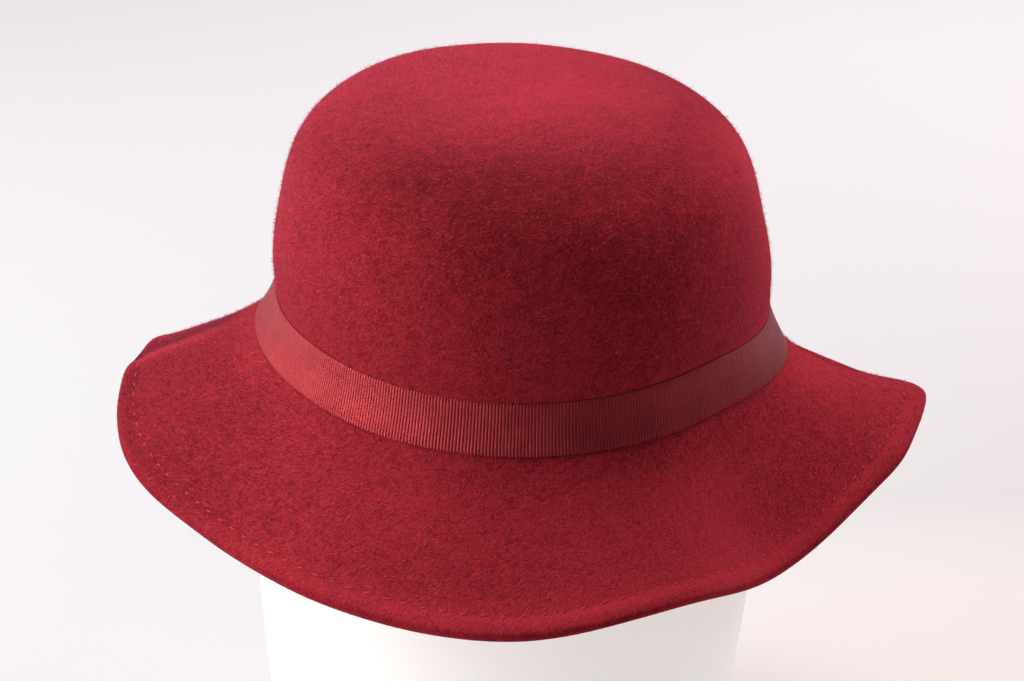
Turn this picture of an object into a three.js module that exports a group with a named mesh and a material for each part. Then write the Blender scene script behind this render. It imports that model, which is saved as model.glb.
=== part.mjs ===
// A felt cloche hat with a ribbed ribbon round its crown, on a plain tapered display stand.
// Millimetres, +Z up. The hat's front faces -Y. The stand's foot is on Z = 0.

import * as THREE from "three";
import { mergeVertices } from "three/addons/utils/BufferGeometryUtils.js";

// Crown, over the outside of the felt. Its height runs from the start of the turn up to the tip.
const CROWN_HALF_WIDTH = 87;
const CROWN_HALF_LENGTH = 101;
const CROWN_HEIGHT = 75;
const OVAL_POWER = 2.15; // 2 is an ellipse, more is squarer

// Brim, from the start of the turn at the crown's foot to the edge
const BRIM_REACH = 50;
const BRIM_DROP = 52;
const TURN_DEPTH = 13.5; // how far the crown's wall still aims down before it swings out
const EDGE_PULL = 0.36; // share of the brim's length that already follows the slope at the edge
const FOOT_DIP = 8; // how far the crown's foot sags where the table says 1

// Felt, and the hem that is turned under along the brim's edge
const FELT_WALL = 2;
const HEM_WIDTH = 8;
const HEM_STEP = 0.8; // length over which the hem's raw edge rises under the brim

// Ribbon. Its line is where its lower edge lies, down the felt from the start of the turn.
const RIBBON_WIDTH = 19;
const RIBBON_LINE = 13;
const RIBBON_WALL = 1;

// Stand, an open tapered tube
const STAND_RIM_RADIUS = 97;
const STAND_FOOT_RADIUS = 80;
const STAND_HEIGHT = 190;
const STAND_WALL = 3;
const STAND_ASIDE = -4; // how far the stand's axis lies towards +X from the hat's

const GAP = 0.3; // clearance between pieces that touch

// Crown sections from the tip to the foot: height and width as shares of the crown's height and half
// axes, and how far the section lies towards +X as a share of the half width.
const CROWN_SECTIONS = [
  { up: 1.0, wide: 0.0, aside: -0.077 },
  { up: 0.98, wide: 0.31, aside: -0.077 },
  { up: 0.932, wide: 0.62, aside: -0.077 },
  { up: 0.865, wide: 0.745, aside: -0.055 },
  { up: 0.75, wide: 0.88, aside: -0.034 },
  { up: 0.595, wide: 0.935, aside: -0.024 },
  { up: 0.43, wide: 0.965, aside: -0.019 },
  { up: 0.24, wide: 1.0, aside: -0.011 },
  { up: 0.0, wide: 0.967, aside: -0.006 },
];

// Brim sections, evenly spaced from the front towards +X: the edge's reach and drop as shares of the
// named ones, the slope at the edge in degrees, and the sag of the crown's foot as a share of its dip.
const BRIM_SECTIONS = [
  { reach: 1.02, drop: 1.06, slope: 36, dip: 0.39 },
  { reach: 0.92, drop: 0.97, slope: 38, dip: 0.12 },
  { reach: 0.75, drop: 1.1, slope: 39, dip: -0.1 },
  { reach: 0.97, drop: 0.85, slope: 35, dip: 0.43 },
  { reach: 1.2, drop: 0.7, slope: 22, dip: 1.0 },
  { reach: 1.05, drop: 0.98, slope: 11, dip: 0.95 },
  { reach: 0.94, drop: 1.12, slope: 24, dip: 0.7 },
  { reach: 0.94, drop: 1.11, slope: 33, dip: 0.35 },
  { reach: 0.96, drop: 1.09, slope: 36, dip: 0.15 },
  { reach: 0.97, drop: 1.08, slope: 34, dip: 0.4 },
  { reach: 0.99, drop: 1.07, slope: 29, dip: 0.7 },
  { reach: 1.11, drop: 0.91, slope: 23, dip: 0.55 },
  { reach: 1.15, drop: 0.73, slope: 40, dip: 0.38 },
  { reach: 1.13, drop: 0.85, slope: 44, dip: 0.21 },
  { reach: 0.97, drop: 0.97, slope: 39, dip: 0.1 },
  { reach: 0.98, drop: 1.02, slope: 36, dip: 0.3 },
];

// How finely the felt is divided
const COLUMNS = 72;
const CROWN_ROWS = 13;
const RIBBON_ROWS = 5;
const BRIM_ROWS = 8;
const HEM_ROWS = 3;
const FOLD_ROWS = 4;
const INSIDE_EVERY = 2; // the smooth inside keeps every second row
const STAND_COLUMNS = 64;
const RIM_ROWS = 2; // in each quarter of the rim's round

const felt = new THREE.MeshStandardMaterial({ color: 0x8b1c2b, roughness: 0.95, metalness: 0 });
const ribbon = new THREE.MeshStandardMaterial({ color: 0x7c2630, roughness: 0.6, metalness: 0 });
const white = new THREE.MeshStandardMaterial({ color: 0xece8e2, roughness: 0.5, metalness: 0 });

// The way out from the hat's axis, with the angle counted from the front towards +X
function outward(angle) {
  return new THREE.Vector3(Math.sin(angle), -Math.cos(angle), 0);
}

// The point of the crown's fullest oval in that direction
function oval(angle) {
  const way = outward(angle);
  const across = Math.abs(way.x / CROWN_HALF_WIDTH) ** OVAL_POWER;
  const along = Math.abs(way.y / CROWN_HALF_LENGTH) ** OVAL_POWER;
  return way.multiplyScalar((across + along) ** (-1 / OVAL_POWER));
}

// The brim's table as a smooth function of the angle
function readRound(sections) {
  const names = Object.keys(sections[0]);
  const ring = [...sections, sections[0]];
  const turns = ring.map((_, index) => index / sections.length);
  const values = ring.flatMap((section) => names.map((name) => section[name]));
  const spline = new THREE.CubicInterpolant(turns, values, names.length);
  spline.settings = { endingStart: THREE.WrapAroundEnding, endingEnd: THREE.WrapAroundEnding };
  return (angle) => {
    const row = spline.evaluate(angle / (2 * Math.PI));
    return Object.fromEntries(names.map((name, index) => [name, row[index]]));
  };
}

const brimAt = readRound(BRIM_SECTIONS);

// The line down the outside of the felt in one direction, from the tip to the brim's edge
function feltLine(angle) {
  const brim = brimAt(angle);
  const full = oval(angle);
  const crownPoints = CROWN_SECTIONS.map(({ up, wide, aside }) => {
    const point = full.clone().multiplyScalar(wide);
    point.x += aside * CROWN_HALF_WIDTH;
    point.z = up * CROWN_HEIGHT - brim.dip * FOOT_DIP * (1 - up) ** 2;
    return point;
  });
  const foot = crownPoints.at(-1);
  const reach = brim.reach * BRIM_REACH;
  const drop = brim.drop * BRIM_DROP;
  const slope = THREE.MathUtils.degToRad(brim.slope);
  const pull = EDGE_PULL * Math.hypot(reach, drop);
  const edge = foot.clone().addScaledVector(outward(angle), reach).setZ(-drop);
  const alongEdge = outward(angle).multiplyScalar(Math.cos(slope)).setZ(-Math.sin(slope));
  const crownLine = new THREE.CatmullRomCurve3(crownPoints);
  const brimLine = new THREE.CubicBezierCurve3(
    foot,
    foot.clone().setZ(foot.z - TURN_DEPTH),
    edge.clone().addScaledVector(alongEdge, -pull),
    edge,
  );
  const path = new THREE.CurvePath();
  path.add(crownLine);
  path.add(brimLine);
  const above = crownLine.getLength();
  const below = brimLine.getLength();
  return { above, below, at: (distance) => path.getPoint((above + distance) / (above + below)) };
}

// Evenly spaced values from one to another, the last one left out
function steps(from, to, count) {
  return Array.from({ length: count }, (_, index) => from + ((to - from) * index) / count);
}

const angles = steps(0, 2 * Math.PI, COLUMNS);
const lines = angles.map(feltLine);
const ribbonTop = RIBBON_LINE - RIBBON_WIDTH;

// Rows round the outside of the felt, each with a point on every line
function rowsBetween(from, to, count) {
  const marks = lines.map((line) => steps(from(line), to(line), count));
  return steps(0, count, count).map((row) => lines.map((line, column) => line.at(marks[column][row])));
}

const foldRadius = FELT_WALL; // the hem is two layers thick, and its fold is half round
const crownRows = rowsBetween((line) => -line.above, () => ribbonTop, CROWN_ROWS);
const ribbonRows = rowsBetween(() => ribbonTop, () => RIBBON_LINE, RIBBON_ROWS);
const brimRows = rowsBetween(() => RIBBON_LINE, (line) => line.below - HEM_WIDTH - HEM_STEP, BRIM_ROWS);
const stepRows = rowsBetween(
  (line) => line.below - HEM_WIDTH - HEM_STEP,
  (line) => line.below - HEM_WIDTH,
  1,
);
const hemRows = rowsBetween((line) => line.below - HEM_WIDTH, (line) => line.below - foldRadius, HEM_ROWS);
const edgeRows = rowsBetween((line) => line.below - foldRadius, (line) => line.below, 1);
const outsideRows = [...crownRows, ...ribbonRows, ...brimRows, ...stepRows, ...hemRows, ...edgeRows];

// The outward normal and the way down the felt at every point of the rows
function directions(rows) {
  return rows.map((row, index) => row.map((point, column) => {
    const above = rows[Math.max(index - 1, 0)];
    const below = rows[Math.min(index + 1, rows.length - 1)];
    const down = below[column].clone().sub(above[column]).normalize();
    if (index === 0) return { normal: new THREE.Vector3(0, 0, 1), down };
    const next = row[(column + 1) % COLUMNS];
    const last = row[(column + COLUMNS - 1) % COLUMNS];
    const round = next.clone().sub(last).normalize();
    return { normal: down.clone().cross(round).normalize(), down };
  }));
}

const outsideWays = directions(outsideRows);

// The same rows moved along their normals, outwards where the distance is positive
function offsetRows(first, end, distance) {
  return outsideRows.slice(first, end).map((row, index) => row.map((point, column) => {
    const { normal } = outsideWays[first + index][column];
    return point.clone().addScaledVector(normal, distance);
  }));
}

// The half-round fold along the brim's edge
function foldRows() {
  const row = outsideRows.length - 1;
  return Array.from({ length: FOLD_ROWS - 1 }, (_, index) => {
    const turn = ((index + 1) / FOLD_ROWS) * Math.PI;
    return outsideRows[row].map((point, column) => {
      const { normal, down } = outsideWays[row][column];
      return point
        .clone()
        .addScaledVector(normal, foldRadius * (Math.cos(turn) - 1))
        .addScaledVector(down, foldRadius * Math.sin(turn));
    });
  });
}

// A closed skin over rows of points. It ends in a point at both ends, or runs round to its first row.
function skin(rows, isRing) {
  const columns = rows.at(-1).length;
  const positions = rows.flat().flatMap((point) => point.toArray());
  const faces = [];
  const pairs = isRing ? rows.length : rows.length - 1;
  for (let row = 0; row < pairs; row += 1) {
    for (let column = 0; column < columns; column += 1) {
      const nextColumn = (column + 1) % columns;
      const top = row * columns;
      const bottom = ((row + 1) % rows.length) * columns;
      faces.push(top + column, bottom + column, bottom + nextColumn);
      faces.push(top + column, bottom + nextColumn, top + nextColumn);
    }
  }
  const geometry = new THREE.BufferGeometry();
  geometry.setAttribute("position", new THREE.Float32BufferAttribute(positions, 3));
  geometry.setIndex(faces);
  return withoutFlatFaces(mergeVertices(geometry));
}

// Leaves out the faces that merging has closed up at a point
function withoutFlatFaces(geometry) {
  const index = Array.from(geometry.index.array);
  const kept = [];
  for (let face = 0; face < index.length; face += 3) {
    const corners = index.slice(face, face + 3);
    if (new Set(corners).size === 3) kept.push(...corners);
  }
  geometry.setIndex(kept);
  geometry.computeVertexNormals();
  return geometry;
}

// The inside of the felt, from the fold back up to the tip. The hem is one layer lower than the rest.
const hemStart = outsideRows.length - HEM_ROWS - 1;
const hemUnderside = offsetRows(hemStart, outsideRows.length, -2 * FELT_WALL).reverse();
const smoothInside = offsetRows(0, hemStart, -FELT_WALL)
  .reverse()
  .filter((_, row) => row % INSIDE_EVERY === 0 || row === hemStart - 1);
const insideRows = [...hemUnderside, ...smoothInside];

function crownAndBrim() {
  const rows = [...outsideRows, ...foldRows(), ...insideRows];
  const mesh = new THREE.Mesh(skin(rows, false), felt);
  mesh.name = "crown_and_brim";
  return mesh;
}

function ribbonBand() {
  const first = CROWN_ROWS;
  const end = CROWN_ROWS + RIBBON_ROWS + 1;
  const face = offsetRows(first, end, GAP + RIBBON_WALL);
  const back = offsetRows(first, end, GAP).reverse();
  const mesh = new THREE.Mesh(skin([...face, ...back], true), ribbon);
  mesh.name = "ribbon_band";
  return mesh;
}

// The lowest height of the brim's underside over the stand's rim, where the hat comes to rest
function seatHeight() {
  const axis = new THREE.Vector2(STAND_ASIDE, 0);
  const radiusOf = (point) => new THREE.Vector2(point.x, point.y).distanceTo(axis);
  let lowest = Infinity;
  for (let row = 1; row < insideRows.length; row += 1) {
    insideRows[row].forEach((inner, column) => {
      const outer = insideRows[row - 1][column];
      const share = (STAND_RIM_RADIUS - radiusOf(inner)) / (radiusOf(outer) - radiusOf(inner));
      if (share < 0 || share > 1) return;
      lowest = Math.min(lowest, THREE.MathUtils.lerp(inner.z, outer.z, share));
    });
  }
  return lowest;
}

function stand() {
  const lip = STAND_WALL / 2;
  const rimTop = STAND_HEIGHT - lip;
  const section = new THREE.Path();
  section.moveTo(STAND_FOOT_RADIUS - STAND_WALL, 0);
  section.lineTo(STAND_FOOT_RADIUS, 0);
  section.lineTo(STAND_RIM_RADIUS, rimTop);
  section.absarc(STAND_RIM_RADIUS - lip, rimTop, lip, 0, Math.PI);
  section.lineTo(STAND_FOOT_RADIUS - STAND_WALL, 0);
  const tube = new THREE.LatheGeometry(section.getPoints(RIM_ROWS), STAND_COLUMNS);
  tube.deleteAttribute("normal");
  tube.deleteAttribute("uv");
  tube.rotateX(Math.PI / 2);
  const mesh = new THREE.Mesh(withoutFlatFaces(mergeVertices(tube)), white);
  mesh.name = "stand";
  mesh.position.x = STAND_ASIDE;
  return mesh;
}

const hat = new THREE.Group();
hat.add(crownAndBrim(), ribbonBand());
hat.position.z = STAND_HEIGHT + GAP - seatHeight();

// The origin is on the ground, under the middle of the whole
const model = new THREE.Group();
model.add(hat, stand());
const middle = new THREE.Box3().setFromObject(model).getCenter(new THREE.Vector3());
model.position.set(-middle.x, -middle.y, 0);

export default model;
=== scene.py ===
"""Looks for a felt cloche hat with a ribbed ribbon, on its display stand. Metres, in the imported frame."""

import math

import bmesh
import bpy
import numpy as np
from mathutils import Euler, Matrix, Vector, noise


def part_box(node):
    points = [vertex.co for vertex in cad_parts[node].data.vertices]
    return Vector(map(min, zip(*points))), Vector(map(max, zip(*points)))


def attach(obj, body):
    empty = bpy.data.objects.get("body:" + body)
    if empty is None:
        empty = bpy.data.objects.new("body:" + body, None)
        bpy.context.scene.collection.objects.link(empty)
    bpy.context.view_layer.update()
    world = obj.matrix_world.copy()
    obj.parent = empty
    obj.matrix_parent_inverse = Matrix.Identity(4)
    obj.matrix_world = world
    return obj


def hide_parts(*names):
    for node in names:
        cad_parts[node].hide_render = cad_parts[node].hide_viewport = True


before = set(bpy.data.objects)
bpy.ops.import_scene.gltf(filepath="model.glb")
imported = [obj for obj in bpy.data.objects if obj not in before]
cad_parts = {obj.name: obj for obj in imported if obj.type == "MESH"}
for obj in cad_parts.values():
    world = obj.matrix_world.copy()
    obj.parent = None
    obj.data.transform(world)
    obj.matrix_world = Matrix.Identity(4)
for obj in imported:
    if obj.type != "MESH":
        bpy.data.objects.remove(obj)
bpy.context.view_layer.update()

MM = 0.001
BODY = "root"
WAY_MAP = "cloth_way"  # the UV map: round the hat, and down it

# Felt and hem
SMOOTHING = 2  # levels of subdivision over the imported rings
WAVE_LENGTH = 34 * MM
WAVE_HEIGHT = 0.45 * MM
SEAM_INSET = 7.4 * MM  # the hem's stitches lie this far in from the fold
SEAM_DEPTH = 0.3 * MM
SEAM_WIDTH = 1.3 * MM
SEAM_PUCKER = 0.3  # share of the seam's depth that comes and goes with each stitch
SEAM_BARE = 0.45 * MM  # no nap grows this close to the stitches
HEM_ROLL = 0.3 * MM  # how far the turned hem stands up between the fold and the stitches
STITCH_PITCH = 6.4 * MM
STITCH_LENGTH = 2.8 * MM
STITCH_THREAD = 0.66 * MM
STITCH_LENGTHS = (0.75, 1.1)  # shares of the length, from the shortest to the longest
STITCH_SLANTS = (0.05, 0.4)  # how far the stitches slant across the seam
STITCH_SEED = 5

# Handling marks in the brim: azimuth from the front towards +X, its spread, how far up, how far out,
# and the distances from the fold where each fades in and out
BRIM_MARKS = (
    {"at": -88, "spread": 4.0, "up": 1.3 * MM, "out": 0.0, "rise": 1 * MM, "near": 2 * MM, "far": 52 * MM},
    {"at": -96, "spread": 4.5, "up": -2.2 * MM, "out": 0.0, "rise": 1 * MM, "near": 2 * MM, "far": 52 * MM},
    {"at": -105, "spread": 5.0, "up": 1.0 * MM, "out": 0.0, "rise": 1 * MM, "near": 2 * MM, "far": 45 * MM},
    {"at": -103, "spread": 3.5, "up": 0.7 * MM, "out": 0.5 * MM, "rise": 0.0, "near": 0.0, "far": 14 * MM},
    {"at": -68, "spread": 15.0, "up": 0.0, "out": 1.5 * MM, "rise": 0.0, "near": 0.0, "far": 40 * MM},
    {"at": 74, "spread": 6.0, "up": 0.0, "out": 1.7 * MM, "rise": 0.0, "near": 0.0, "far": 30 * MM},
    {"at": 86, "spread": 8.0, "up": 0.0, "out": 0.7 * MM, "rise": 0.0, "near": 0.0, "far": 30 * MM},
    {"at": 96, "spread": 6.5, "up": 0.0, "out": 3.2 * MM, "rise": 0.0, "near": 0.0, "far": 26 * MM},
    {"at": 97, "spread": 14.0, "up": -2.0 * MM, "out": 0.0, "rise": 40 * MM, "near": 44 * MM, "far": 62 * MM},
    {"at": 95, "spread": 24.0, "up": 0.0, "out": 1.8 * MM, "rise": 52 * MM, "near": 70 * MM, "far": 84 * MM},
    {"at": -93, "spread": 20.0, "up": 0.0, "out": 1.4 * MM, "rise": 52 * MM, "near": 68 * MM, "far": 86 * MM},
    {"at": -38, "spread": 10.0, "up": 0.8 * MM, "out": 0.0, "rise": 0.0, "near": 0.0, "far": 40 * MM},
    {"at": 24, "spread": 8.0, "up": 0.7 * MM, "out": 0.0, "rise": 0.0, "near": 0.0, "far": 30 * MM},
)
# Painted light and shade on the felt and its nap, lighter (above 0) or darker, placed in the same way: a
# painted highlight on the crease's ridge and painted shade in its hollow, painted light and shade on the
# hem's roll, painted shade along the fold's lower rim, and broad patches of painted light and shade over the
# brim and the crown
PAINTED_LIGHT_MARKS = (
    {"at": -96, "spread": 4.0, "tone": -0.6, "rise": 5 * MM, "near": 34 * MM, "far": 54 * MM},
    {"at": -88.5, "spread": 2.0, "tone": 0.35, "rise": 4 * MM, "near": 30 * MM, "far": 54 * MM},
    {"at": 36, "spread": 22.0, "tone": 0.3, "rise": 0.0, "near": 30 * MM, "far": 55 * MM},
    {"at": 0, "spread": 45.0, "tone": 0.15, "rise": 0.0, "near": 40 * MM, "far": 60 * MM},
    {"at": 90, "spread": 18.0, "tone": 0.75, "rise": 75 * MM, "near": 115 * MM, "far": 160 * MM},
    {"at": -30, "spread": 45.0, "tone": 0.15, "rise": 75 * MM, "near": 120 * MM, "far": 150 * MM},
    {"at": 10, "spread": 60.0, "tone": -0.48, "rise": 140 * MM, "near": 150 * MM, "far": 218 * MM},
    {"at": 10, "spread": 60.0, "tone": 0.25, "rise": 100 * MM, "near": 115 * MM, "far": 165 * MM},
    {"at": 60, "spread": 80.0, "tone": 0.25, "rise": 220 * MM, "near": 300 * MM, "far": 320 * MM},
    {"at": -78, "spread": 45.0, "tone": -0.22, "rise": 8 * MM, "near": 40 * MM, "far": 60 * MM},
    {"at": 20, "spread": 60.0, "tone": 0.35, "rise": 0.0, "near": 5 * MM, "far": 14 * MM},
    {"at": 25, "spread": 55.0, "tone": -0.85, "rise": 0.0, "near": 0.3 * MM, "far": 2.3 * MM},
    {"at": -85, "spread": 40.0, "tone": -0.2, "rise": 0.0, "near": 5 * MM, "far": 10 * MM},
)
RIM_UNDER = 2.5 * MM  # how far these marks reach round under the edge

# Painted light: the felt is painted lighter low on the brim and on the crown's top, and a little darker on
# the crown's side between (distances from the fold)
PAINTED_BRIM_LIGHT_TO = 45 * MM
PAINTED_CROWN_SHADE_FROM = 75 * MM
CROWN_SIDE = 140 * MM
CROWN_TOP = 200 * MM

# Nap of the felt
NAP_LENGTH = 1.8 * MM
NAP_LENGTHS = (0.4, 1.25)  # shares of that length, from the shortest to the longest
NAP_WIDTH = 0.11 * MM
NAP_BEND = 0.07  # how far a fibre's middle rises, as a share of its length
NAP_SWAY = 0.13  # how far its middle lies to one side
NAP_TURN = (0.2, 1.9)  # radians between the way down the felt and a fibre's own way
NAP_LIFT = 0.12  # slope of the fibres that lie highest
NAP_STANDING = 12.0  # the higher, the fewer fibres stand up
NAP_CLUMP = 1.3 * MM
NAP_CLUMP_TONE = 1.15
NAP_EDGE_SHARE = 0.6  # length of the fibres at the fold, as a share of the others'
NAP_EDGE = 4 * MM  # they reach the full length this far from it
NAP_FLAT_EDGE = (1 * MM, 8 * MM)  # nearer to the fold than these, no fibre, or few, stand up
NAP_REACH = 2 * MM  # the nap ends this far inside the ribbon's edges
NAP_SEED = 11
NAP_COUNTS = {"nap_crown": 80000, "nap_crown_top": 80000, "nap_brim": 80000, "nap_brim_top": 80000,
              "nap_under": 25000}

# Ribbon
RIB_PITCH = 1.03 * MM
RIB_HEIGHT = 0.14 * MM
RIB_STEPS = 4  # faces across one rib
RIB_ROWS = 12  # rows of points across the ribbon
RIBBON_THICK = 0.4 * MM
RIBBON_SETTLE = 1.1 * MM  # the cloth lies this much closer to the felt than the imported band's face
RIBBON_FLARE = 0.8 * MM  # its lower edge stands out this far
RIBBON_TUCK = 0.35  # its upper edge is drawn in by this share of the flare
RIBBON_TAUT = 0.8  # how far it is drawn straight between its edges, where the felt under it is hollow
SCALLOP_SHARE = 0.075  # how far the edge draws in between two pairs of ribs, of half the width
RIB_ROUNDNESS = 0.6  # 1 is a sine's hump, less is fuller
EDGE_SHARPNESS = 40.0  # the higher, the closer to its edges the ribbon stays flat
LAP_SHARE = 0.022  # how much of the ribbon's length is doubled where it is joined at the back
LAP_GAP = 0.05 * MM
RIB_CREASE = 38  # degrees: sharper edges of the ribbon aren't shaded round
STAND_CREASE = 40

# Camera, measured from the crown's tip and the stand's axis
CAMERA_LENS = 98.4
CAMERA_SENSOR = 36.0
CAMERA_DISTANCE = 988 * MM
CAMERA_HEIGHT = math.radians(23.8)
CAMERA_TURN = math.radians(1.0)
CAMERA_ROLL = math.radians(1.9)
CAMERA_SHIFT = (-0.011, -0.0225)
AIM_BELOW_TIP = 86 * MM
AIM_ASIDE = 4 * MM


class Wire:
    """An output socket. Arithmetic on wires and numbers adds Math nodes."""

    def __init__(self, tree, socket):
        self.tree = tree
        self.socket = socket

    def math(self, operation, *others):
        sockets = dict(enumerate((self, *others)))
        return self.tree.add("ShaderNodeMath", sockets, operation=operation)

    def swapped(self, operation, other):
        return self.tree.add("ShaderNodeMath", {0: other, 1: self}, operation=operation)

    def __add__(self, other):
        return self.math("ADD", other)

    def __sub__(self, other):
        return self.math("SUBTRACT", other)

    def __mul__(self, other):
        return self.math("MULTIPLY", other)

    def __pow__(self, other):
        return self.math("POWER", other)

    def __radd__(self, other):
        return self.swapped("ADD", other)

    def __rsub__(self, other):
        return self.swapped("SUBTRACT", other)

    def __rmul__(self, other):
        return self.swapped("MULTIPLY", other)

    def sin(self):
        return self.math("SINE")

    def abs(self):
        return self.math("ABSOLUTE")


class Tree:
    """A node tree, with one method that adds any node and gives one of its outputs."""

    def __init__(self, tree):
        self.tree = tree

    def add(self, kind, sockets=None, output=0, **settings):
        node = self.tree.nodes.new(kind)
        for name, value in settings.items():
            setattr(node, name, value)
        for name, value in (sockets or {}).items():
            self.feed(node.inputs[name], value)
        return Wire(self, node.outputs[output])

    def feed(self, socket, value):
        if isinstance(value, Wire):
            self.tree.links.new(value.socket, socket)
        else:
            socket.default_value = value

    def vector(self, operation, *values):
        return self.add("ShaderNodeVectorMath", dict(enumerate(values)), operation=operation)

    def split(self, vector):
        """The X, Y and Z of a vector."""
        node = self.add("ShaderNodeSeparateXYZ", {0: vector}).socket.node
        return [Wire(self, output) for output in node.outputs]


class Paint(Tree):
    """A material with one Principled shader."""

    def __init__(self, name):
        self.material = bpy.data.materials.new(name)
        self.material.use_nodes = True
        super().__init__(self.material.node_tree)
        self.shader = self.tree.nodes["Principled BSDF"]
        self.place = self.add("ShaderNodeTexCoord", output="Object")

    def noise(self, size, detail=2.0, curl=0.0):
        """Noise from 0 to 1 whose features are about that size, drawn out into strands by the curl."""
        sockets = {"Vector": self.place, "Scale": 1.0 / size, "Detail": detail, "Distortion": curl}
        return self.add("ShaderNodeTexNoise", sockets, output="Fac")

    def mix(self, share, first, second):
        """A colour between two others: a Mix node takes colours in sockets 6 and 7, and gives one in 2."""
        return self.add("ShaderNodeMix", {0: share, 6: first, 7: second}, 2, data_type="RGBA")

    def finish(self, bump=None, bump_depth=0.0, **sockets):
        for name, value in sockets.items():
            self.feed(self.shader.inputs[name.replace("_", " ")], value)
        if bump is not None:
            normal = self.add("ShaderNodeBump", {"Height": bump, "Strength": 1.0, "Distance": bump_depth})
            self.feed(self.shader.inputs["Normal"], normal)
        return self.material


# Materials

# Sizes of the felt's unevenness, from the broadest to the finest
CLOUD = 30 * MM
MOTTLE = 4.5 * MM
STRAND = 1.4 * MM
GRAIN = 0.5 * MM
FELT_RELIEF = 0.45 * MM

RIBBON_THREAD = 0.35 * MM
RIBBON_CLOUD = 14 * MM
RIBBON_RELIEF = 0.2 * MM

FELT_DEEP = (0.16, 0.0045, 0.008, 1.0)
FELT_BRIGHT = (0.47, 0.022, 0.036, 1.0)
RIBBON_DEEP = (0.07, 0.005, 0.006, 1.0)
RIBBON_BRIGHT = (0.48, 0.044, 0.055, 1.0)
THREAD_DEEP = (0.39, 0.03, 0.045, 1.0)
THREAD_BRIGHT = (0.54, 0.07, 0.093, 1.0)
STAND_DEEP = (0.93, 0.91, 0.88, 1.0)
STAND_BRIGHT = (0.96, 0.95, 0.93, 1.0)
SHEEN_RED = (1.0, 0.13, 0.252, 1.0)
NAP_TONES = {
    "nap_deep": (0.1, 0.004, 0.007, 1.0),
    "nap_mid": (0.33, 0.015, 0.027, 1.0),
    "nap_light": (0.62, 0.055, 0.085, 1.0),
}


def felt_material():
    """Velour felt: broad cloudy tone, small mottling where the nap parts, a fine grain, and painted light and
    shade: a lighter brim and crown top, the painted marks, and painted shade along the stitches.
    """
    paint = Paint("velour_felt")
    clouds = paint.noise(CLOUD)
    mottle = paint.noise(MOTTLE)
    strands = paint.noise(STRAND, curl=2.0)
    grain = paint.noise(GRAIN)
    inset = paint.add("ShaderNodeAttribute", output="Fac", attribute_name="from_fold")
    # Painted light and shade: lighter low on the brim, a little darker up the crown's side
    brushed = paint.add("ShaderNodeMapRange", {
        0: inset, 1: PAINTED_BRIM_LIGHT_TO, 2: PAINTED_CROWN_SHADE_FROM, 3: 0.1, 4: -0.05}, interpolation_type="SMOOTHSTEP")
    # Painted highlight: the crown's top is painted lighter
    top = paint.add("ShaderNodeMapRange", {0: inset, 1: CROWN_SIDE, 2: CROWN_TOP, 3: 0.0, 4: 0.3})
    # Painted light and shade of the painted marks, stored on the felt
    marks = paint.add("ShaderNodeAttribute", output="Fac", attribute_name="brushed")
    tone = 0.48 + brushed + top + marks + 0.45 * (clouds - 0.5) + 0.75 * (mottle - 0.5)
    # Painted shade: the felt is darkened along the groove of the hem's stitches
    off_seam = ((inset - SEAM_INSET) * (1.0 / SEAM_WIDTH)).abs()
    seam = paint.add("ShaderNodeMapRange", {0: off_seam, 1: 0.2, 2: 1.3, 3: 0.1, 4: 0.0})
    tone = tone + 1.1 * (strands - 0.5) + 0.7 * (grain - 0.5) - seam
    return paint.finish(
        bump=0.8 * strands + 0.5 * grain,
        bump_depth=FELT_RELIEF,
        Base_Color=paint.mix(tone, FELT_DEEP, FELT_BRIGHT),
        Roughness=0.95,
        Specular_IOR_Level=0.1,
        Sheen_Weight=0.6,
        Sheen_Roughness=0.35,
        Sheen_Tint=SHEEN_RED,
    )


def nap_material(name, colour):
    paint = Paint(name)
    return paint.finish(
        Base_Color=colour,
        Roughness=0.8,
        Specular_IOR_Level=0.15,
        Sheen_Weight=0.5,
        Sheen_Roughness=0.35,
        Sheen_Tint=SHEEN_RED,
    )


def ribbon_material():
    """Grosgrain: silky cords, with painted shade between them, and faintly uneven along its length."""
    paint = Paint("grosgrain")
    along = paint.split(paint.add("ShaderNodeUVMap", uv_map=WAY_MAP))[0]
    # Painted shade: the colour darkens between the cords, where they dip
    cords = (along * (RIB_COUNT * math.pi)).sin().abs()
    threads = paint.noise(RIBBON_THREAD)
    clouds = paint.noise(RIBBON_CLOUD)
    tone = 0.25 + 0.5 * cords + 1.1 * (threads - 0.5) + 0.45 * (clouds - 0.5)
    return paint.finish(
        bump=threads,
        bump_depth=RIBBON_RELIEF,
        Base_Color=paint.mix(tone, RIBBON_DEEP, RIBBON_BRIGHT),
        Roughness=0.3 + 0.12 * threads,
        Metallic=0.8,
        Specular_IOR_Level=0.2,
        Sheen_Weight=0.1,
        Sheen_Roughness=0.4,
        Sheen_Tint=SHEEN_RED,
    )


def thread_material():
    paint = Paint("hem_thread")
    twist = paint.noise(0.3 * MM, 1.0)
    return paint.finish(
        bump=twist,
        bump_depth=0.05 * MM,
        Base_Color=paint.mix(twist, THREAD_DEEP, THREAD_BRIGHT),
        Roughness=0.75,
        Specular_IOR_Level=0.1,
        Sheen_Weight=0.4,
        Sheen_Tint=SHEEN_RED,
    )


def stand_material():
    """Plain white plastic with a faint unevenness from moulding."""
    paint = Paint("satin_white")
    clouds = paint.noise(60 * MM)
    pores = paint.noise(1.6 * MM, 3.0)
    return paint.finish(
        bump=pores,
        bump_depth=0.03 * MM,
        Base_Color=paint.mix(clouds, STAND_DEEP, STAND_BRIGHT),
        Roughness=0.38 + 0.14 * pores,
        Specular_IOR_Level=0.4,
    )


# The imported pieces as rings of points

WELD = 0.01 * MM


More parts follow.
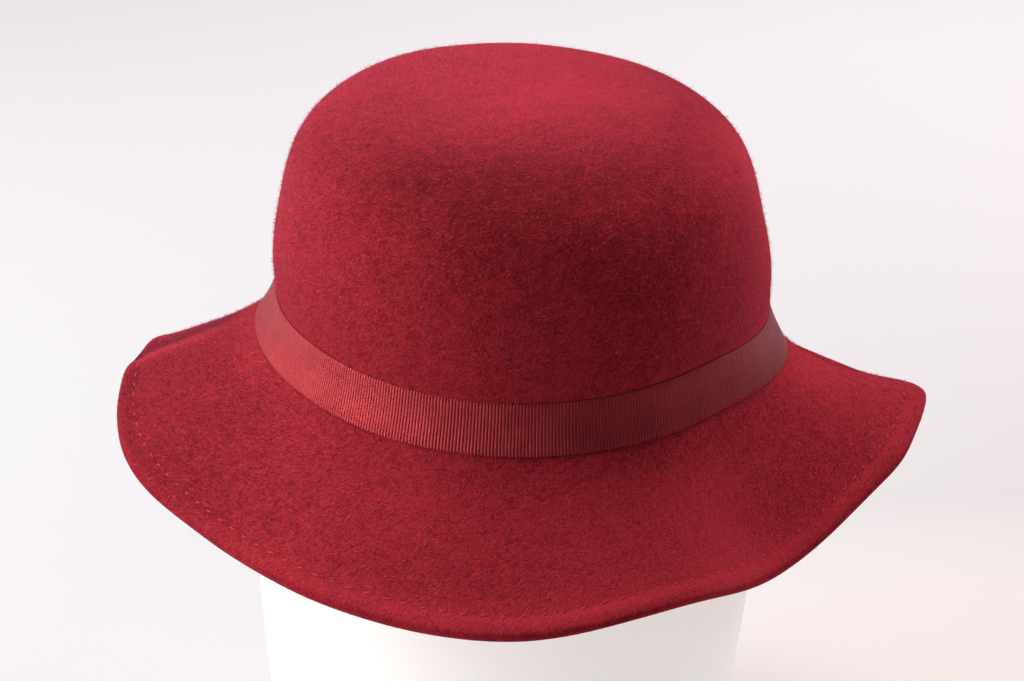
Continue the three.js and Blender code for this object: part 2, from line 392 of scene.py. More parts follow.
def read_rings(node, find_first):
    """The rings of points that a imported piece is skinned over, and the closed ends before and after."""
    solid = bmesh.new()
    solid.from_mesh(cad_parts[node].data)
    bmesh.ops.remove_doubles(solid, verts=solid.verts, dist=WELD)
    facing = {}
    for face in solid.faces:
        for corner in face.verts:
            edge = frozenset(other for other in face.verts if other is not corner)
            facing.setdefault(edge, []).append(corner)
    before, ring = find_first(solid)
    rings = []
    done = set(before)
    while len(set(ring)) > 1:
        rings.append(ring)
        done.update(ring)
        pairs = zip(ring, ring[1:] + ring[:1])
        beyond = [[v for v in facing[frozenset(pair)] if v not in done] for pair in pairs]
        if not all(beyond):
            break
        found = [min(corners, key=lambda v: v.co.z) for corners in beyond]
        ring = found[-1:] + found[:-1]
    points = np.array([[v.co[:] for v in ring] for ring in rings])
    ends = [np.array(v.co) for v in (*before, *set(ring)) if len(before)]
    solid.free()
    return points, ends


def turn_of(point, axis):
    """The direction of a point from an upright axis, from the front towards +X, as a share of a turn."""
    return (math.atan2(point[0] - axis[0], -(point[1] - axis[1])) / (2 * math.pi)) % 1.0


def tip_ring(solid):
    """The tip of the crown and the first ring round it, starting at the front."""
    tip = max(solid.verts, key=lambda v: v.co.z)
    around = [edge.other_vert(tip) for edge in tip.link_edges]
    half = 0.5 / len(around)
    around.sort(key=lambda v: (turn_of(v.co, tip.co) + half) % 1.0)
    return [tip], around


felt_rings, felt_ends = read_rings("crown_and_brim", tip_ring)
COLUMNS = felt_rings.shape[1]
stand_low, stand_high = (np.array(corner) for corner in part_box("stand"))
stand_axis = (stand_low + stand_high) / 2
hat_axis = stand_axis + (AIM_ASIDE, 0, 0)


def ribbon_top_ring(solid):
    """The ring along the outer corner of the ribbon's upper edge, starting at the front."""
    columns = [[] for _ in range(COLUMNS)]
    for vert in solid.verts:
        columns[round(turn_of(vert.co, hat_axis) * COLUMNS) % COLUMNS].append(vert)
    ring = []
    for column in columns:
        top_two = sorted(column, key=lambda v: -v.co.z)[:2]
        ring.append(max(top_two, key=lambda v: math.hypot(v.co.x - hat_axis[0], v.co.y - hat_axis[1])))
    return [], ring


ribbon_rings, _ = read_rings("ribbon_band", ribbon_top_ring)
ribbon_face = ribbon_rings[: len(ribbon_rings) // 2]


def lengths_between(rings):
    return np.linalg.norm(np.diff(rings, axis=0), axis=2)


fold_ring = int(np.argmax(np.hypot(*(felt_rings - hat_axis)[..., :2].transpose(2, 0, 1)).mean(axis=1)))
down_felt = np.concatenate([np.zeros((1, COLUMNS)), np.cumsum(lengths_between(felt_rings), axis=0)])
from_fold = down_felt[fold_ring] - down_felt  # above 0 on the outside, below 0 on the inside

ribbon_length = np.linalg.norm(ribbon_face - np.roll(ribbon_face, 1, axis=1), axis=2).sum(axis=1).mean()
RIB_COUNT = 2 * round(ribbon_length / RIB_PITCH / 2)


# Meshes

def new_object(name, vertices, faces, uvs=None, edges=()):
    """An object at the origin, with an optional UV for every corner of every face."""
    mesh = bpy.data.meshes.new(name)
    mesh.from_pydata([tuple(v) for v in vertices], list(edges), faces)
    if uvs is not None:
        layer = mesh.uv_layers.new(name=WAY_MAP)
        layer.data.foreach_set("uv", np.array(uvs, dtype=np.float32).ravel())
    mesh.update()
    piece = bpy.data.objects.new(name, mesh)
    bpy.context.scene.collection.objects.link(piece)
    return piece


def made_plain(piece):
    """Turns what the modifiers give into the piece's own mesh, and removes them."""
    graph = bpy.context.evaluated_depsgraph_get()
    mesh = bpy.data.meshes.new_from_object(piece.evaluated_get(graph), depsgraph=graph)
    piece.modifiers.clear()
    piece.data = mesh
    return piece


def smooth_out(piece):
    """Rounds a piece over its packed points."""
    modifier = piece.modifiers.new("smooth", "SUBSURF")
    modifier.levels = SMOOTHING
    modifier.render_levels = SMOOTHING
    made_plain(piece)
    piece.data.shade_smooth()


def ring_faces(rows):
    """Quads between rings, with a UV for each corner: the turn, and the share of the rings."""
    faces, uvs = [], []
    for row in range(rows - 1):
        for column in range(COLUMNS):
            beside = (column + 1) % COLUMNS
            faces.append([row * COLUMNS + column, (row + 1) * COLUMNS + column,
                          (row + 1) * COLUMNS + beside, row * COLUMNS + beside])
            left, right = column / COLUMNS, (column + 1) / COLUMNS
            top, bottom = row / rows, (row + 1) / rows
            uvs += [(left, top), (left, bottom), (right, bottom), (right, top)]
    return faces, uvs


def add_attribute(mesh, name, kind, values):
    layer = mesh.attributes.new(name, kind, "POINT")
    layer.data.foreach_set("value" if kind == "FLOAT" else "vector", np.ravel(values).astype(np.float32))


def read_attribute(mesh, name):
    values = np.zeros(len(mesh.vertices), dtype=np.float32)
    mesh.attributes[name].data.foreach_get("value", values)
    return values


def felt_body():
    """Crown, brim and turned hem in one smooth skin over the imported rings."""
    rows = len(felt_rings)
    vertices = np.concatenate([felt_rings.reshape(-1, 3), *[end[None] for end in felt_ends]])
    faces, uvs = ring_faces(rows)
    tip, inside_tip = len(vertices) - 2, len(vertices) - 1
    for column in range(COLUMNS):
        beside = (column + 1) % COLUMNS
        faces.append([tip, column, beside])
        faces.append([inside_tip, (rows - 1) * COLUMNS + beside, (rows - 1) * COLUMNS + column])
        middle = (column + 0.5) / COLUMNS
        uvs += [(middle, 0.0), (column / COLUMNS, 0.01), ((column + 1) / COLUMNS, 0.01)]
        uvs += [(middle, 1.0), ((column + 1) / COLUMNS, 0.99), (column / COLUMNS, 0.99)]
    piece = new_object("felt_crown_and_brim", vertices, faces, uvs)
    way = np.gradient(felt_rings, axis=0)
    way /= np.linalg.norm(way, axis=2, keepdims=True)
    share_round = np.broadcast_to(np.arange(COLUMNS) / COLUMNS, from_fold.shape)
    turn_x, turn_y = np.cos(2 * np.pi * share_round), np.sin(2 * np.pi * share_round)
    ends = [from_fold[0].mean(), from_fold[-1].mean()]
    add_attribute(piece.data, "from_fold", "FLOAT", np.concatenate([from_fold.ravel(), ends]))
    add_attribute(piece.data, "nap_way", "FLOAT_VECTOR", np.concatenate([way.reshape(-1, 3), np.eye(3)[:2]]))
    add_attribute(piece.data, "turn_x", "FLOAT", np.concatenate([turn_x.ravel(), [0, 0]]))
    add_attribute(piece.data, "turn_y", "FLOAT", np.concatenate([turn_y.ravel(), [0, 0]]))
    smooth_out(piece)
    settle_felt(piece.data)
    return piece


def settle_felt(mesh):
    """Soft unevenness of hand-blocked felt, the line where the hem's stitches draw it in, and its marks; it
    also stores the painted light and shade of the painted marks.
    """
    points = np.zeros(len(mesh.vertices) * 3, dtype=np.float32)
    normals = np.zeros_like(points)
    mesh.vertices.foreach_get("co", points)
    mesh.vertices.foreach_get("normal", normals)
    points, normals = points.reshape(-1, 3), normals.reshape(-1, 3)
    inset = read_attribute(mesh, "from_fold")
    turn = np.arctan2(read_attribute(mesh, "turn_y"), read_attribute(mesh, "turn_x"))
    azimuth = np.degrees(turn)
    waves = np.array([noise.noise(Vector(point) / WAVE_LENGTH) for point in points])
    seam = np.exp(-(((np.abs(inset) - SEAM_INSET) / SEAM_WIDTH) ** 2))
    roll = np.exp(-(((np.abs(inset) - SEAM_INSET / 2) / (SEAM_INSET / 4)) ** 2))
    pucker = 1 - SEAM_PUCKER + SEAM_PUCKER * np.cos(turn * STITCH_COUNT)
    side = np.where(inset > 0, 1.0, -1.0)
    height = side * WAVE_HEIGHT * waves - SEAM_DEPTH * seam * pucker + HEM_ROLL * roll
    points += normals * height[:, None]
    points += marks_in_brim(points, azimuth, np.abs(inset))
    mesh.vertices.foreach_set("co", points.ravel())
    mesh.update()
    # Painted light and shade: the painted marks' tones, stored for the colours of the felt and its nap
    brushed = sum(mark["tone"] * share_of(mark, azimuth, inset) for mark in PAINTED_LIGHT_MARKS)
    add_attribute(mesh, "brushed", "FLOAT", np.where(inset > -RIM_UNDER, brushed, 0.0))


def eased(share):
    share = np.clip(share, 0, 1)
    return share * share * (3 - 2 * share)


def share_of(mark, azimuth, inset):
    """How strong a mark is, from 0 to 1."""
    aside = (azimuth - mark["at"] + 180) % 360 - 180
    share = np.exp(-((aside / mark["spread"]) ** 2))
    share = share * eased((mark["far"] - inset) / (mark["far"] - mark["near"]))
    return share * eased(inset / mark["rise"]) if mark["rise"] else share


def inset_under(rings):
    """How far in from the fold the felt lies under each point of rings that stand over it."""
    inset = np.zeros(rings.shape[:2])
    for column in range(COLUMNS):
        outside = from_fold[:, column] > 0
        gaps = np.linalg.norm(rings[:, column, None] - felt_rings[None, outside, column], axis=2)
        inset[:, column] = from_fold[outside, column][gaps.argmin(axis=1)]
    return inset


def marks_in_brim(points, azimuth, inset):
    """How far the marks move each point; both sides of the felt move together."""
    moved = np.zeros_like(points)
    outward = points - hat_axis
    outward[:, 2] = 0.0
    outward /= np.maximum(np.linalg.norm(outward, axis=1, keepdims=True), MM)
    for mark in BRIM_MARKS:
        share = share_of(mark, azimuth, inset)
        moved[:, 2] += mark["up"] * share
        moved += mark["out"] * share[:, None] * outward
    return moved


def line_on_felt(inset):
    """A closed row of points on the felt, that far in from the fold on the outside."""
    return np.array([
        [np.interp(inset, from_fold[::-1, column], felt_rings[::-1, column, axis]) for axis in range(3)]
        for column in range(COLUMNS)
    ])


seam_line = line_on_felt(SEAM_INSET)
seam_length = np.linalg.norm(seam_line - np.roll(seam_line, 1, axis=0), axis=1).sum()
STITCH_COUNT = round(seam_length / STITCH_PITCH)


# Geometry Nodes

class Grower(Tree):
    """A Geometry Nodes tree with named inputs, put on a piece as a modifier."""

    def __init__(self, name, inputs):
        group = bpy.data.node_groups.new(name, "GeometryNodeTree")
        super().__init__(group)
        for side in ("INPUT", "OUTPUT"):
            group.interface.new_socket("Geometry", in_out=side, socket_type="NodeSocketGeometry")
        self.identifiers = {}
        for label, kind in inputs.items():
            socket = group.interface.new_socket(label, in_out="INPUT", socket_type="NodeSocket" + kind)
            self.identifiers[label] = socket.identifier
        self.source = group.nodes.new("NodeGroupInput")
        self.sink = group.nodes.new("NodeGroupOutput")

    def input(self, label):
        return Wire(self, self.source.outputs[label])

    def attribute(self, name, kind="FLOAT"):
        return self.add("GeometryNodeInputNamedAttribute", {"Name": name}, data_type=kind)

    def random(self, low, high, seed):
        sockets = {2: low, 3: high, "Seed": seed}
        return self.add("FunctionNodeRandomValue", sockets, 1, data_type="FLOAT")

    def end(self, geometry):
        self.feed(self.sink.inputs[0], geometry)

    def end_smooth(self, geometry):
        """Ends the tree in real geometry, shaded smooth, in the material that is put in."""
        realized = self.add("GeometryNodeRealizeInstances", {"Geometry": geometry})
        smooth = self.add("GeometryNodeSetShadeSmooth", {"Geometry": realized})
        material = self.input("Material")
        self.end(self.add("GeometryNodeSetMaterial", {"Geometry": smooth, "Material": material}))

    def sampled(self, kind, field, sockets):
        """A field's vector on another surface, by a Sample node."""
        value = self.add(field)
        return self.add(kind, {"Value": value, **sockets}, data_type="FLOAT_VECTOR")

    def grow(self, piece, values):
        modifier = piece.modifiers.new(self.tree.name, "NODES")
        modifier.node_group = self.tree
        for label, value in values.items():
            modifier[self.identifiers[label]] = value


def ribs_tree():
    """Cords side by side over a band that has a UV, from one share of its length to another."""
    grower = Grower("ribs_over_band", {
        "Ribs": "Int", "Steps": "Int", "Rows": "Int", "Start": "Float", "Span": "Float",
        "Rib Height": "Float", "Lift": "Float", "Scallop": "Float", "Material": "Material",
    })
    ribs, span = grower.input("Ribs"), grower.input("Span")
    columns = (ribs * span * grower.input("Steps")).math("ROUND") + 1.0
    sheet = grower.add("GeometryNodeMeshGrid", {
        "Size X": 1.0, "Size Y": 1.0, "Vertices X": columns, "Vertices Y": grower.input("Rows"),
    })
    right, across, _ = grower.split(grower.add("GeometryNodeInputPosition"))
    along = grower.input("Start") + (right + 0.5) * span
    cords = (along * ribs * math.pi).sin().abs() ** RIB_ROUNDNESS
    pairs = (along * ribs * (math.pi / 2)).sin().abs() ** RIB_ROUNDNESS
    drawn_in = 1.0 - grower.input("Scallop") * (1.0 - 0.7 * cords - 0.3 * pairs)
    edge = (across.abs() * 2.0) ** EDGE_SHARPNESS
    uv = grower.add("ShaderNodeCombineXYZ", {0: along, 1: across * drawn_in + 0.5})
    band = {
        "Mesh": grower.input("Geometry"), "Sample UV": uv,
        "UV Map": grower.attribute(WAY_MAP, "FLOAT_VECTOR"),
    }
    point = grower.sampled("GeometryNodeSampleUVSurface", "GeometryNodeInputPosition", band)
    normal = grower.sampled("GeometryNodeSampleUVSurface", "GeometryNodeInputNormal", band)
    height = grower.input("Lift") + grower.input("Rib Height") * (cords - 1.0 - edge)
    raised = grower.vector("ADD", point, grower.vector("MULTIPLY", normal, height))
    stored = grower.add("GeometryNodeStoreNamedAttribute", {
        "Geometry": sheet, "Name": WAY_MAP, "Value": uv,
    }, data_type="FLOAT2", domain="CORNER")
    placed = grower.add("GeometryNodeSetPosition", {"Geometry": stored, "Position": raised})
    grower.end_smooth(grower.add("GeometryNodeMergeByDistance", {"Geometry": placed, "Distance": WELD}))
    return grower


def stitch_tree():
    """Short stitches along a line, lying on a surface."""
    grower = Grower("stitches_on_line", {
        "Count": "Int", "Length": "Float", "Thread": "Float", "Surface": "Object", "Seed": "Int",
        "Material": "Material",
    })
    line = grower.add("GeometryNodeMeshToCurve", {"Mesh": grower.input("Geometry")})
    spaced = grower.add("GeometryNodeResampleCurve", {"Curve": line, "Count": grower.input("Count")})
    surface = grower.add("GeometryNodeObjectInfo", {"Object": grower.input("Surface")}, "Geometry")
    near = {"Mesh": surface, "Sample Position": grower.add("GeometryNodeInputPosition")}
    on_felt = grower.sampled("GeometryNodeSampleNearestSurface", "GeometryNodeInputPosition", near)
    normal = grower.sampled("GeometryNodeSampleNearestSurface", "GeometryNodeInputNormal", near)
    laid = grower.add("GeometryNodeSetPosition", {"Geometry": spaced, "Position": on_felt})
    tangent = grower.add("GeometryNodeInputTangent")
    slant = grower.random(*STITCH_SLANTS, grower.input("Seed"))
    side = grower.vector("CROSS_PRODUCT", normal, tangent)
    way = grower.vector("ADD", tangent, grower.vector("MULTIPLY", side, slant))
    turned = grower.add("FunctionNodeAlignRotationToVector", {"Vector": way}, axis="X")
    turned = grower.add("FunctionNodeAlignRotationToVector", {"Rotation": turned, "Vector": normal},
                        axis="Z", pivot_axis="X")
    bead = grower.add("GeometryNodeMeshUVSphere", {"Segments": 8, "Rings": 6, "Radius": 0.5})
    length = grower.input("Length") * grower.random(*STITCH_LENGTHS, grower.input("Seed") + 1.0)
    thread = grower.input("Thread")
    size = grower.add("ShaderNodeCombineXYZ", {0: length, 1: thread, 2: thread})
    grower.end_smooth(grower.add("GeometryNodeInstanceOnPoints", {
        "Points": laid, "Instance": bead, "Rotation": turned, "Scale": size,
    }))
    return grower


def nap_tree():
    """Fibres that lie down over felt, between two distances from the fold, in three tones."""
    tones = {f"Tone {number}": "Material" for number in range(len(NAP_TONES))}
    grower = Grower("nap_on_felt", {
        "Density": "Float", "From": "Float", "To": "Float", "Length": "Float", "Fibre": "Object",
        "Seed": "Int", **tones,
    })
    inset = grower.attribute("from_fold")
    inside = inset.math("GREATER_THAN", grower.input("From")) * inset.math("LESS_THAN", grower.input("To"))
    inside = inside * (inset - SEAM_INSET).abs().math("GREATER_THAN", SEAM_BARE)
    points = grower.add("GeometryNodeDistributePointsOnFaces", {
        "Mesh": grower.input("Geometry"), "Selection": inside, "Density": grower.input("Density"),
        "Seed": grower.input("Seed"),
    })
    seed = grower.input("Seed")
    normal = Wire(grower, points.socket.node.outputs["Normal"])
    down = grower.attribute("nap_way", "FLOAT_VECTOR")
    side = grower.vector("CROSS_PRODUCT", down, normal)
    turn = grower.random(*NAP_TURN, seed + 1.0)
    standing = grower.random(0.0, 1.0, seed + 2.0)
    flat, upright = NAP_FLAT_EDGE
    off_edge = grower.add("ShaderNodeMapRange", {0: inset.abs(), 1: flat, 2: upright, 3: 0.0, 4: 1.0})
    lift = NAP_LIFT * standing + off_edge * standing ** NAP_STANDING
    way = grower.vector("ADD", grower.vector("MULTIPLY", down, turn.math("COSINE")),
                        grower.vector("MULTIPLY", side, turn.sin()))
    way = grower.vector("ADD", way, grower.vector("MULTIPLY", normal, lift))
    turned = grower.add("FunctionNodeAlignRotationToVector", {"Vector": way}, axis="Z")
    turned = grower.add("FunctionNodeAlignRotationToVector", {"Rotation": turned, "Vector": normal},
                        axis="Y", pivot_axis="Z")
    fibre = grower.add("GeometryNodeObjectInfo", {"Object": grower.input("Fibre")}, "Geometry")
    near_fold = grower.add("ShaderNodeMapRange", {
        0: inset.abs(), 1: 0.0, 2: NAP_EDGE, 3: NAP_EDGE_SHARE, 4: 1.0})
    length = grower.input("Length") * grower.random(*NAP_LENGTHS, seed + 3.0) * near_fold
    fibres = grower.add("GeometryNodeInstanceOnPoints", {
        "Points": points, "Instance": fibre, "Rotation": turned, "Scale": length,
    })
    count = float(len(NAP_TONES))
    clumps = grower.add("ShaderNodeTexNoise", {
        "Vector": grower.add("GeometryNodeInputPosition"), "Scale": 1 / NAP_CLUMP, "Detail": 2.0,
    })
    # The painted light and shade of the felt shifts each fibre towards the darker or the lighter tones
    tone = grower.random(0.0, count, seed + 4.0) + count * grower.attribute("brushed")
    tone = tone + NAP_CLUMP_TONE * count * (clumps - 0.5)
    tone = tone.math("MAXIMUM", 0.001).math("MINIMUM", count)
    stored = grower.add("GeometryNodeStoreNamedAttribute", {
        "Geometry": fibres, "Name": "tone", "Value": tone,
    }, data_type="FLOAT", domain="INSTANCE")
    made = grower.add("GeometryNodeRealizeInstances", {"Geometry": stored})
    for number in range(len(NAP_TONES)):
        own = grower.attribute("tone").math("GREATER_THAN", float(number))
        made = grower.add("GeometryNodeSetMaterial", {
            "Geometry": made, "Selection": own, "Material": grower.input(f"Tone {number}"),
        })
    grower.end(made)
    return grower


# Pieces

def ribbon_band(material):
    """The ribbon and its lap at the back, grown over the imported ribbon's outer face."""
    rows = len(ribbon_face)
    faces, uvs = ring_faces(rows)
    uvs = [(left, down * rows / (rows - 1)) for left, down in uvs]
    share = np.linspace(0, 1, rows)[:, None, None]
    straight = ribbon_face[0] * (1 - share) + ribbon_face[-1] * share
    taut = (ribbon_face + RIBBON_TAUT * (straight - ribbon_face)).reshape(-1, 3)
    azimuth = np.tile(np.arange(COLUMNS) * 360.0 / COLUMNS, rows)
    taut = taut + marks_in_brim(taut, azimuth, inset_under(ribbon_face).ravel())
    flared = np.repeat(np.linspace(-RIBBON_TUCK, 1, rows), COLUMNS)
    outward = (taut - hat_axis) * (1, 1, 0)
    outward /= np.linalg.norm(outward, axis=1, keepdims=True)
    taut = taut + RIBBON_FLARE * flared[:, None] * outward
    grower = ribs_tree()
    pieces = []
    laps = {
        "ribbon_ribs": {"Start": 0.0, "Span": 1.0, "Lift": -RIBBON_SETTLE},
        "ribbon_lap": {"Start": 0.5 - LAP_SHARE / 2, "Span": LAP_SHARE,
                       "Lift": LAP_GAP + RIBBON_THICK - RIBBON_SETTLE},
    }
    for name, extent in laps.items():
        band = new_object(name, taut, faces, uvs)
        smooth_out(band)
        grower.grow(band, {
            "Ribs": RIB_COUNT, "Steps": RIB_STEPS, "Rows": RIB_ROWS, "Rib Height": RIB_HEIGHT,
            "Scallop": SCALLOP_SHARE, "Material": material, **extent,
        })
        wall = band.modifiers.new("thickness", "SOLIDIFY")
        wall.thickness = RIBBON_THICK
        wall.offset = -1.0
        made_plain(band)
        crease(band.data, RIB_CREASE)
        pieces.append(band)
    return pieces


def hem_stitches(material, felt):
    """One row of stitches along the hem, on the felt's outside."""
    edges = [(column, (column + 1) % COLUMNS) for column in range(COLUMNS)]
    piece = new_object("hem_stitches", seam_line, [], edges=edges)
    stitch_tree().grow(piece, {
        "Count": STITCH_COUNT, "Length": STITCH_LENGTH, "Thread": STITCH_THREAD, "Surface": felt,
        "Seed": STITCH_SEED, "Material": material,
    })
    return made_plain(piece)


def fibre_shape():
    """One bent fibre of length 1 along +Z, pointed at both ends, with +Y away from the felt."""
    half = NAP_WIDTH / NAP_LENGTH / 2
    middle = [(NAP_SWAY + side, NAP_BEND, 0.5) for side in (-half, half)]
    vertices = [(0, 0, 0), *middle, (0, 0.2 * NAP_BEND, 1)]
    return new_object("fibre", vertices, [(0, 1, 2), (1, 3, 2)])


def nap(felt, tones):
    """The felt's nap, over the crown, the brim and the brim's underside."""
    level_with_ribbon = np.abs(felt_rings[..., 2] - ribbon_face[-1, :, 2]).argmin(axis=0)
    fold_to_ribbon = np.median(from_fold[level_with_ribbon, np.arange(COLUMNS)])
    fold_to_ribbon_top = fold_to_ribbon + np.median(lengths_between(ribbon_face).sum(axis=0))
    longest = from_fold.max() + 1.0
    crown = (fold_to_ribbon_top - NAP_REACH, longest)
    brim = (0.0, fold_to_ribbon + NAP_REACH)
    reaches = {
        "nap_crown": crown,
        "nap_crown_top": crown,
        "nap_brim": brim,
        "nap_brim_top": brim,
        "nap_under": (-fold_to_ribbon, 0.0),
    }
    areas = {name: felt_area(felt.data, *reach) for name, reach in reaches.items()}
    grower = nap_tree()
    fibre = fibre_shape()
    pieces = []
    for number, (name, (start, end)) in enumerate(reaches.items()):
        piece = bpy.data.objects.new(name, felt.data.copy())
        bpy.context.scene.collection.objects.link(piece)
        values = {f"Tone {tone}": material for tone, material in enumerate(tones)}
        grower.grow(piece, {
            "Density": NAP_COUNTS[name] / areas[name], "From": float(start), "To": float(end),
            "Length": NAP_LENGTH, "Fibre": fibre, "Seed": NAP_SEED + number, **values,
        })
        pieces.append(made_plain(piece))
    bpy.data.objects.remove(fibre)
    return pieces


def felt_area(mesh, start, end):
    """The area of the felt between two distances from the fold."""
    inset = read_attribute(mesh, "from_fold")
    count = len(mesh.polygons)
    areas = np.zeros(count, dtype=np.float32)
    mesh.polygons.foreach_get("area", areas)
    starts = np.zeros(count, dtype=np.int32)
    mesh.polygons.foreach_get("loop_start", starts)
    corners = np.zeros(len(mesh.loops), dtype=np.int32)
    mesh.loops.foreach_get("vertex_index", corners)
    middle = inset[corners[starts]]
    return float(areas[(middle > start) & (middle < end)].sum())


def crease(mesh, degrees):
    """Joins the corners of a mesh and shades it smooth, apart from edges sharper than that."""
    shape = bmesh.new()
    shape.from_mesh(mesh)
    bmesh.ops.remove_doubles(shape, verts=shape.verts, dist=WELD)
    for edge in shape.edges:
        edge.smooth = edge.calc_face_angle(0.0) < math.radians(degrees)
    for face in shape.faces:
        face.smooth = True
    shape.to_mesh(mesh)
    shape.free()


def stand_tube(material):
    """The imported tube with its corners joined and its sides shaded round."""
    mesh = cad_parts["stand"].data.copy()
    crease(mesh, STAND_CREASE)
    mesh.materials.clear()
    mesh.materials.append(material)
    piece = bpy.data.objects.new("stand_tube", mesh)
    bpy.context.scene.collection.objects.link(piece)
    return piece


def settle(piece, node, material=None):
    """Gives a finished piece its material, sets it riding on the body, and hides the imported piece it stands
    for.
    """
    if material is not None:
        piece.data.materials.clear()
        piece.data.materials.append(material)
    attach(piece, BODY)
    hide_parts(node)


def build_object():
    felt = felt_body()
    settle(felt, "crown_and_brim", felt_material())
    tones = [nap_material(name, colour) for name, colour in NAP_TONES.items()]
    for piece in nap(felt, tones):
        settle(piece, "crown_and_brim")
    settle(hem_stitches(thread_material(), felt), "crown_and_brim")
    for piece in ribbon_band(ribbon_material()):
        settle(piece, "ribbon_band")
    settle(stand_tube(stand_material()), "stand")


# Studio

FLOOR_FRONT = -0.8  # nearer floor is seen by the camera, but gives back no light: the room is dark there
FLOOR_HALF = 5.0
SWEEP_START = 2.2
SWEEP_RADIUS = 1.5
SWEEP_TOP = 5.0
SWEEP_STEPS = 24
# Floor tints, as painted light and shade: they shape how the lamps' light falls off across the floor, with
# the hat's painted shadow and red bounce near the right
FLOOR_TINTS = {
    "near left": (0.62, 0.62, 0.63, 1.0),
    "near right": (0.585, 0.548, 0.548, 1.0),
    "far left": (0.6, 0.575, 0.588, 1.0),
    "far right": (0.69, 0.655, 0.67, 1.0),
    "warm spot": (0.76, 0.69, 0.67, 1.0),
}
FLOOR_SIDES = (-0.35, 0.3)  # the tints blend from left to right between these, and from near to far
FLOOR_BACKS = (0.35, 0.95)
# A spot of painted red light bounced from the hat onto the floor
HAT_BOUNCE_SPOT = {"right": 0.24, "back": 0.08, "wide": 0.25, "deep": 0.2}
ROOM_LIGHT = 0.33
ROOM_SEEN = 0.88


def floor_paint():
    """Near white, with painted light and shade: a little warmer and darker from side to side and from near to
    far, and one warm spot of painted red light bounced from the hat.
    """
    paint = Paint("pale_floor")
    right, back, _ = paint.split(paint.place)
    sideways = paint.add("ShaderNodeMapRange", {0: right, 1: FLOOR_SIDES[0], 2: FLOOR_SIDES[1]})
    backwards = paint.add("ShaderNodeMapRange", {0: back, 1: FLOOR_BACKS[0], 2: FLOOR_BACKS[1]})
    near = paint.mix(sideways, FLOOR_TINTS["near left"], FLOOR_TINTS["near right"])
    far = paint.mix(sideways, FLOOR_TINTS["far left"], FLOOR_TINTS["far right"])
    # Painted red light bounced from the hat, strongest at the spot's middle
    off_spot = ((right - HAT_BOUNCE_SPOT["right"]) * (1 / HAT_BOUNCE_SPOT["wide"])) ** 2.0
    off_spot = off_spot + ((back - HAT_BOUNCE_SPOT["back"]) * (1 / HAT_BOUNCE_SPOT["deep"])) ** 2.0
    warm = paint.add("ShaderNodeMapRange", {0: off_spot, 1: 0.0, 2: 1.0, 3: 1.0, 4: 0.0})
    tint = paint.mix(backwards, near, far)
    return paint.finish(Base_Color=paint.mix(warm, tint, FLOOR_TINTS["warm spot"]), Roughness=0.9)


def studio_floor():
    """A pale seamless floor that sweeps up behind."""
    bends = np.linspace(0, math.pi / 2, SWEEP_STEPS)[1:]
    profile = [(FLOOR_FRONT, 0.0), (SWEEP_START, 0.0)]
    profile += [(SWEEP_START + SWEEP_RADIUS * math.sin(bend), SWEEP_RADIUS - SWEEP_RADIUS * math.cos(bend))
                for bend in bends]
    profile.append((SWEEP_START + SWEEP_RADIUS, SWEEP_TOP))
    vertices = [(x, y, z) for y, z in profile for x in (-FLOOR_HALF, FLOOR_HALF)]
    faces = [(2 * i, 2 * i + 1, 2 * i + 3, 2 * i + 2) for i in range(len(profile) - 1)]
    sweep = new_object("studio_sweep", vertices, faces)
    sweep.data.shade_smooth()
    corners = [(-FLOOR_HALF, -FLOOR_HALF, 0.0), (FLOOR_HALF, -FLOOR_HALF, 0.0),
               (FLOOR_HALF, FLOOR_FRONT, 0.0), (-FLOOR_HALF, FLOOR_FRONT, 0.0)]
    front = new_object("studio_floor_front", corners, [(0, 1, 2, 3)])
    paint = floor_paint()
    for floor in (sweep, front):
        floor.data.materials.append(paint)
    unseen_by_bounces(front)


def studio_dark_side():
    """Dark walls in front and to the right, which the camera doesn't see."""
    dark = Paint("dark_room")
    corners = [(x, y, z) for z in (-0.4, 1.4) for x, y in ((-1.2, -1.5), (1.5, -1.5), (1.5, 0.3))]
    room = new_object("studio_dark_side", corners, [(0, 1, 4, 3), (1, 2, 5, 4)])
    room.data.materials.append(dark.finish(Base_Color=(0.03, 0.03, 0.03, 1.0), Roughness=0.9))
    room.visible_camera = False


def studio_air():
    """A pale room, brighter to the camera than to the hat."""
    world = bpy.data.worlds.new("pale_room")
    bpy.context.scene.world = world
    world.use_nodes = True
    air = Tree(world.node_tree)
    seen = air.add("ShaderNodeLightPath", output="Is Camera Ray")
    background = world.node_tree.nodes["Background"]
    background.inputs["Color"].default_value = (1.0, 0.975, 0.985, 1.0)
    air.feed(background.inputs["Strength"], seen * (ROOM_SEEN - ROOM_LIGHT) + ROOM_LIGHT)


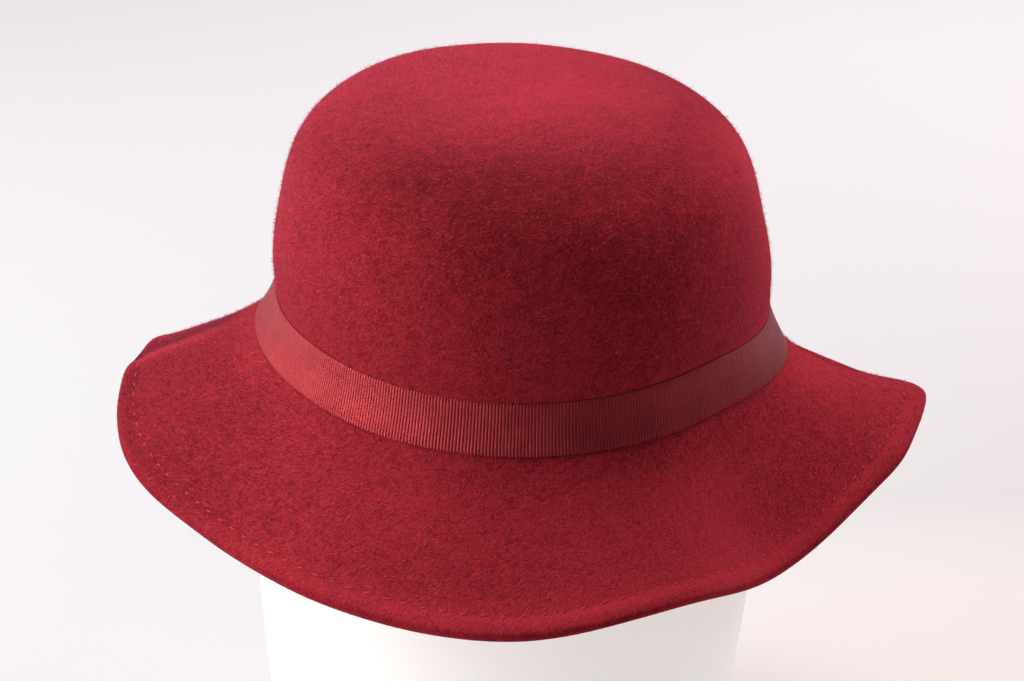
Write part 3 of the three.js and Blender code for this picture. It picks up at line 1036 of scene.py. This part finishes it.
def studio_lights():
    """A window at the left, soft lights above and behind, and light from the floor on the stand alone."""
    add_light("window", (-1.57, -0.2, 0.75), (1.4, 0.9), 20.0, (1.0, 0.98, 1.0))
    add_light("overhead", (-0.4, 0.8, 2.0), (1.5, 1.5), 33.0, (1.0, 0.99, 1.0))
    add_light("back_right", (1.2, 1.1, 1.4), (0.8, 0.8), 15.0, (1.0, 0.98, 0.98), reflected=False)
    add_light("right", (1.35, 0.15, 0.45), (0.8, 0.6), 4.5, (1.0, 0.98, 0.98), reflected=False)
    add_light("front_left", (-1.35, -0.75, 0.4), (0.8, 0.6), 7.0, (1.0, 0.98, 0.98))
    bounce = add_light("floor_bounce", (0.12, -0.3, 0.1), (0.4, 0.2), 0.34, (1.0, 0.98, 0.96))
    lit = bpy.data.collections.new("lit_by_floor_bounce")
    lit.objects.link(bpy.data.objects["stand_tube"])
    bounce.light_linking.receiver_collection = lit


def unseen_by_bounces(piece):
    piece.visible_diffuse = False
    piece.visible_glossy = False
    piece.visible_shadow = False


def add_light(name, place, size, power, colour, reflected=True):
    lamp = bpy.data.lights.new(name, "AREA")
    lamp.shape = "RECTANGLE"
    lamp.size, lamp.size_y = size
    lamp.energy = power
    lamp.color = colour
    light = bpy.data.objects.new(name, lamp)
    light.location = place
    way = aim_point() - Vector(place)
    light.rotation_euler = way.to_track_quat("-Z", "Y").to_euler()
    light.visible_camera = False
    light.visible_glossy = reflected
    bpy.context.scene.collection.objects.link(light)
    return light


def aim_point():
    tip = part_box("crown_and_brim")[1][2]
    return Vector((hat_axis[0], hat_axis[1], tip - AIM_BELOW_TIP))


def camera():
    lens = bpy.data.cameras.new("photo_camera")
    lens.lens = CAMERA_LENS
    lens.sensor_width = CAMERA_SENSOR
    lens.clip_start = 0.02
    lens.shift_x, lens.shift_y = CAMERA_SHIFT
    view = bpy.data.objects.new("photo_camera", lens)
    bpy.context.scene.collection.objects.link(view)
    bpy.context.scene.camera = view
    tilt = Euler((math.pi / 2 - CAMERA_HEIGHT, 0, CAMERA_TURN)).to_matrix()
    turned = tilt @ Matrix.Rotation(CAMERA_ROLL, 3, "Z")
    view.rotation_euler = turned.to_euler()
    view.location = aim_point() + tilt @ Vector((0, 0, CAMERA_DISTANCE))


build_object()
studio_floor()
studio_dark_side()
studio_air()
studio_lights()
camera()
bpy.context.scene.view_settings.view_transform = "Standard"
